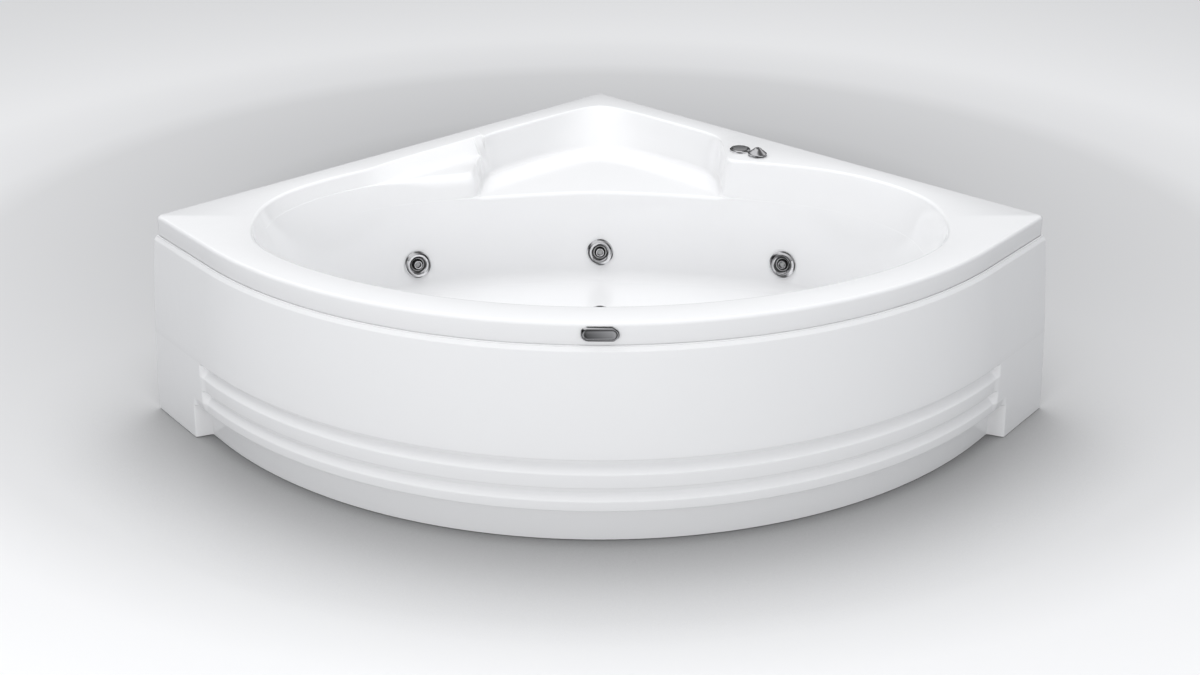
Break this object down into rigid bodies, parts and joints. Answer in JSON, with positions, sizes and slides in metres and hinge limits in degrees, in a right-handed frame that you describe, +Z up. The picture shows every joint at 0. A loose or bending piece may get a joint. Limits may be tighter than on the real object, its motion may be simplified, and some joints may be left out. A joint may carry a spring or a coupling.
{
  "type": "corner bathtub",
  "caption": "Quarter-circle corner bath with a moulded shell, seat, armrest, curved front panel, water jets, air controls, pump, waste and steel frame.",
  "frame": {"origin": "on the floor, under the middle of the whole tub's box", "axes": "+X to the right along the front, +Y towards the wall corner at the back, +Z up"},
  "size_m": [2.1902, 1.7024, 0.5228],
  "materials": {
    "white_acrylic": "glossy white acrylic",
    "bright_chrome": "polished chrome",
    "satin_chrome": "satin chrome",
    "plywood": "resin-sealed board",
    "painted_steel": "dark powder coat",
    "zinc_steel": "zinc plated",
    "pipe_plastic": "white pressure pipe",
    "air_pipe_plastic": "pale grey air pipe",
    "grey_plastic": "grey waste fittings",
    "black_plastic": "black moulded plastic",
    "motor_paint": "grey-blue motor enamel",
    "shaft_steel": "ground steel"
  },
  "bodies": {
    "tub": {"tub_shell": "white_acrylic", "front_panel": "white_acrylic", "trim_cap": "bright_chrome", "base_board": "plywood", "frame_rear_tube": "painted_steel", "frame_front_tube": "painted_steel", "frame_left_tube": "painted_steel", "frame_right_tube": "painted_steel", "frame_spine_tube": "painted_steel", "foot_nuts": "zinc_steel", "foot_rods": "zinc_steel", "wall_hangers": "zinc_steel", "panel_arms": "painted_steel", "panel_clips": "zinc_steel", "frame_screws": "zinc_steel", "fitting_nuts": "pipe_plastic", "water_pipe_left": "pipe_plastic", "water_pipe_right": "pipe_plastic", "pressure_pipe": "pipe_plastic", "suction_pipe": "pipe_plastic", "air_manifold": "air_pipe_plastic", "air_riser": "air_pipe_plastic", "button_housing": "bright_chrome", "air_control_body": "bright_chrome", "overflow_body": "grey_plastic", "overflow_pipe": "grey_plastic", "drain_flange": "bright_chrome", "trap_body": "grey_plastic", "outlet_pipe": "grey_plastic", "suction_body": "pipe_plastic", "suction_grille": "bright_chrome", "pump_volute": "black_plastic", "pump_motor": "motor_paint", "pump_fan_cover": "black_plastic", "pump_base": "painted_steel", "pump_terminal_box": "black_plastic", "cable_gland": "black_plastic", "foot_pad_1": "black_plastic", "foot_pad_2": "black_plastic", "foot_pad_3": "black_plastic", "foot_pad_4": "black_plastic", "foot_pad_5": "black_plastic", "jet_1_body": "black_plastic", "jet_2_body": "black_plastic", "jet_3_body": "black_plastic"},
    "air_button": {"air_button": "satin_chrome"},
    "air_knob": {"air_knob": "bright_chrome"},
    "overflow_knob": {"overflow_knob": "bright_chrome"},
    "drain_plug": {"drain_plug": "bright_chrome"},
    "pump_rotor": {"pump_shaft": "shaft_steel", "pump_impeller": "black_plastic", "pump_fan": "black_plastic"},
    "jet_1_face": {"jet_1_face": "bright_chrome"},
    "jet_1_nozzle": {"jet_1_nozzle": "bright_chrome"},
    "jet_2_face": {"jet_2_face": "bright_chrome"},
    "jet_2_nozzle": {"jet_2_nozzle": "bright_chrome"},
    "jet_3_face": {"jet_3_face": "bright_chrome"},
    "jet_3_nozzle": {"jet_3_nozzle": "bright_chrome"}
  },
  "joints": [
    {"name": "air_button_press", "type": "slide", "parent": "tub", "child": "air_button", "axis": [0, 0, -1], "range_m": [0, 0.0033], "stiffness_N_per_m": 600, "springref_m": -0.002},
    {"name": "air_knob_turn", "type": "hinge", "parent": "tub", "child": "air_knob", "pos_m": [0.421, 0.24417, 0.5], "axis": [0, 0, 1], "range_deg": [0, 180]},
    {"name": "jet_1_face_turn", "type": "hinge", "parent": "tub", "child": "jet_1_face", "pos_m": [-0.48506, 0.11217, 0.24], "axis": [0.375, -0.9029, 0.2102], "range_deg": [0, 90]},
    {"name": "jet_1_nozzle_tilt", "type": "hinge", "parent": "tub", "child": "jet_1_nozzle", "pos_m": [-0.48731, 0.11758, 0.23874], "axis": [0.9235, 0.3836, 0], "range_deg": [-12, 12]},
    {"name": "jet_2_face_turn", "type": "hinge", "parent": "tub", "child": "jet_2_face", "pos_m": [0, 0.19877, 0.24], "axis": [0, -0.9683, 0.25], "range_deg": [0, 90]},
    {"name": "jet_2_nozzle_tilt", "type": "hinge", "parent": "tub", "child": "jet_2_nozzle", "pos_m": [0, 0.20458, 0.2385], "axis": [1, 0, 0], "range_deg": [-12, 12]},
    {"name": "jet_3_face_turn", "type": "hinge", "parent": "tub", "child": "jet_3_face", "pos_m": [0.48506, 0.11217, 0.24], "axis": [-0.375, -0.9029, 0.2102], "range_deg": [0, 90]},
    {"name": "jet_3_nozzle_tilt", "type": "hinge", "parent": "tub", "child": "jet_3_nozzle", "pos_m": [0.48731, 0.11758, 0.23874], "axis": [0.9235, -0.3836, 0], "range_deg": [-12, 12]},
    {"name": "overflow_knob_turn", "type": "hinge", "parent": "tub", "child": "overflow_knob", "pos_m": [0, -0.71803, 0.461], "axis": [0, 0.9806, 0.1961], "range_deg": [0, 90]},
    {"name": "drain_plug_lift", "type": "slide", "parent": "tub", "child": "drain_plug", "axis": [0, 0, 1], "range_m": [0, 0.009]},
    {"name": "pump_spin", "type": "hinge", "parent": "tub", "child": "pump_rotor", "pos_m": [0, 0.47617, 0.214], "axis": [1, 0, 0], "continuous": true}
  ],
  "couplings": [
    {"joint": "drain_plug_lift", "follows": "overflow_knob_turn", "m_per_rad": 0.0057}
  ]
}
